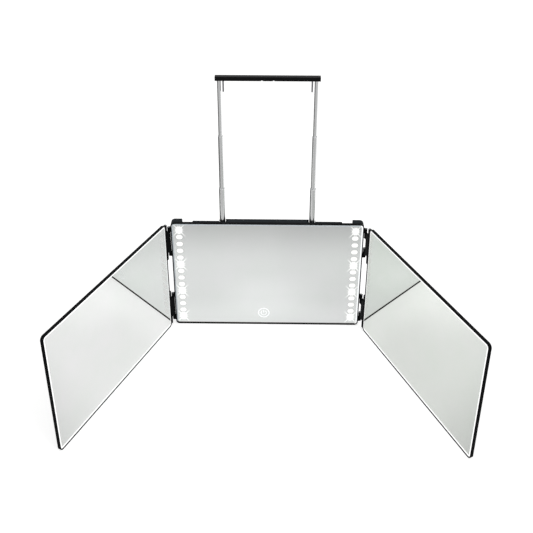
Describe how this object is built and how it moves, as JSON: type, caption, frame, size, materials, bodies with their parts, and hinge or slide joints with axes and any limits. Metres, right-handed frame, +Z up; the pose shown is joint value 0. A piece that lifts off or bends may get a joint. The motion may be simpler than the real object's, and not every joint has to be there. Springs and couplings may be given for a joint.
{
  "type": "trifold vanity mirror",
  "caption": "Folding vanity mirror with a lit centre panel, swinging wings on link hinges and a hanger bar on telescopic rods.",
  "frame": {"origin": "middle of the centre panel's bottom face, halfway through the frame's thickness", "axes": "+Z up, +X to the viewer's right along the centre mirror, +Y away from the viewer"},
  "size_m": [0.5373, 0.2934, 0.4144],
  "materials": {
    "frame_plastic": "satin black ABS",
    "housing_plastic": "fine-textured black ABS",
    "mirror_glass": "silvered float glass with a ground bevel",
    "bonding_tape": "matte foam tape",
    "light_window": "frosted, lit",
    "opal_diffuser": "opal acrylic",
    "white_board": "white solder mask",
    "led_chip": "clear yellow encapsulant",
    "flat_cable": "amber polyimide film",
    "touch_light": "frosted, lit",
    "copper": "bare copper",
    "spring_steel": "bright",
    "green_board": "green solder mask",
    "component_black": "moulded epoxy",
    "battery_pouch": "satin laminate foil",
    "lead_insulation": "soft insulation",
    "socket_steel": "stamped shell",
    "black_steel": "black zinc plate",
    "bush_plastic": "natural acetal",
    "pin_steel": "ground steel",
    "link_plastic": "satin black glass-filled nylon",
    "tube_steel": "polished stainless tube",
    "bar_plastic": "satin black",
    "hook_steel": "brushed steel strap"
  },
  "bodies": {
    "centre": {"centre_front_frame": "frame_plastic", "centre_rear_housing": "housing_plastic", "centre_mirror": "mirror_glass", "centre_mirror_tape": "bonding_tape", "led_windows_left": "light_window", "led_windows_right": "light_window", "led_diffuser_left": "opal_diffuser", "led_diffuser_right": "opal_diffuser", "led_board_left": "white_board", "led_board_right": "white_board", "led_chips_left": "led_chip", "led_chips_right": "led_chip", "led_flex_left": "flat_cable", "led_flex_right": "flat_cable", "touch_ring": "touch_light", "touch_pad": "copper", "touch_spring": "spring_steel", "control_board": "green_board", "board_components": "component_black", "battery": "battery_pouch", "battery_leads": "lead_insulation", "usb_socket": "socket_steel", "usb_board": "green_board", "usb_flex": "flat_cable", "housing_screws": "black_steel", "rod_bush_left": "bush_plastic", "rod_bush_right": "bush_plastic", "left_centre_pins": "pin_steel", "right_centre_pins": "pin_steel"},
    "left_links": {"left_upper_link": "link_plastic", "left_lower_link": "link_plastic"},
    "right_links": {"right_upper_link": "link_plastic", "right_lower_link": "link_plastic"},
    "left_wing": {"left_tray": "frame_plastic", "left_mirror": "mirror_glass", "left_mirror_tape": "bonding_tape", "left_wing_pins": "pin_steel"},
    "right_wing": {"right_tray": "frame_plastic", "right_mirror": "mirror_glass", "right_mirror_tape": "bonding_tape", "right_wing_pins": "pin_steel"},
    "lower_tubes": {"left_lower_tube": "tube_steel", "right_lower_tube": "tube_steel"},
    "middle_tubes": {"left_middle_tube": "tube_steel", "right_middle_tube": "tube_steel"},
    "hanger": {"left_upper_tube": "tube_steel", "right_upper_tube": "tube_steel", "hanger_bar": "bar_plastic", "hook_rivets": "pin_steel", "bar_grub_screws": "black_steel"},
    "left_hook": {"left_hook": "hook_steel"},
    "right_hook": {"right_hook": "hook_steel"}
  },
  "joints": [
    {"name": "left_link_hinge", "type": "hinge", "parent": "centre", "child": "left_links", "pos_m": [-0.1478, 0, 0.093], "axis": [0, 0, 1], "range_deg": [-40, 50]},
    {"name": "left_wing_hinge", "type": "hinge", "parent": "left_links", "child": "left_wing", "pos_m": [-0.15224, -0.00373, 0.093], "axis": [0, 0, 1], "range_deg": [-27, 63]},
    {"name": "right_link_hinge", "type": "hinge", "parent": "centre", "child": "right_links", "pos_m": [0.1478, 0, 0.093], "axis": [0, 0, -1], "range_deg": [-65, 25]},
    {"name": "right_wing_hinge", "type": "hinge", "parent": "right_links", "child": "right_wing", "pos_m": [0.15236, -0.00979, 0.093], "axis": [0, 0, -1], "range_deg": [-2, 88]},
    {"name": "lower_slide", "type": "slide", "parent": "centre", "child": "lower_tubes", "axis": [0, 0, 1], "range_m": [-0.0584, 0.06]},
    {"name": "middle_slide", "type": "slide", "parent": "lower_tubes", "child": "middle_tubes", "axis": [0, 0, 1], "range_m": [-0.0812, 0.036]},
    {"name": "upper_slide", "type": "slide", "parent": "middle_tubes", "child": "hanger", "axis": [0, 0, 1], "range_m": [-0.0818, 0.035]},
    {"name": "left_hook_swivel", "type": "hinge", "parent": "hanger", "child": "left_hook", "pos_m": [-0.012, 0.0074, 0.4104], "axis": [0, 0, -1], "range_deg": [0, 90]},
    {"name": "right_hook_swivel", "type": "hinge", "parent": "hanger", "child": "right_hook", "pos_m": [0.012, 0.0074, 0.4104], "axis": [0, 0, 1], "range_deg": [0, 90]}
  ]
}
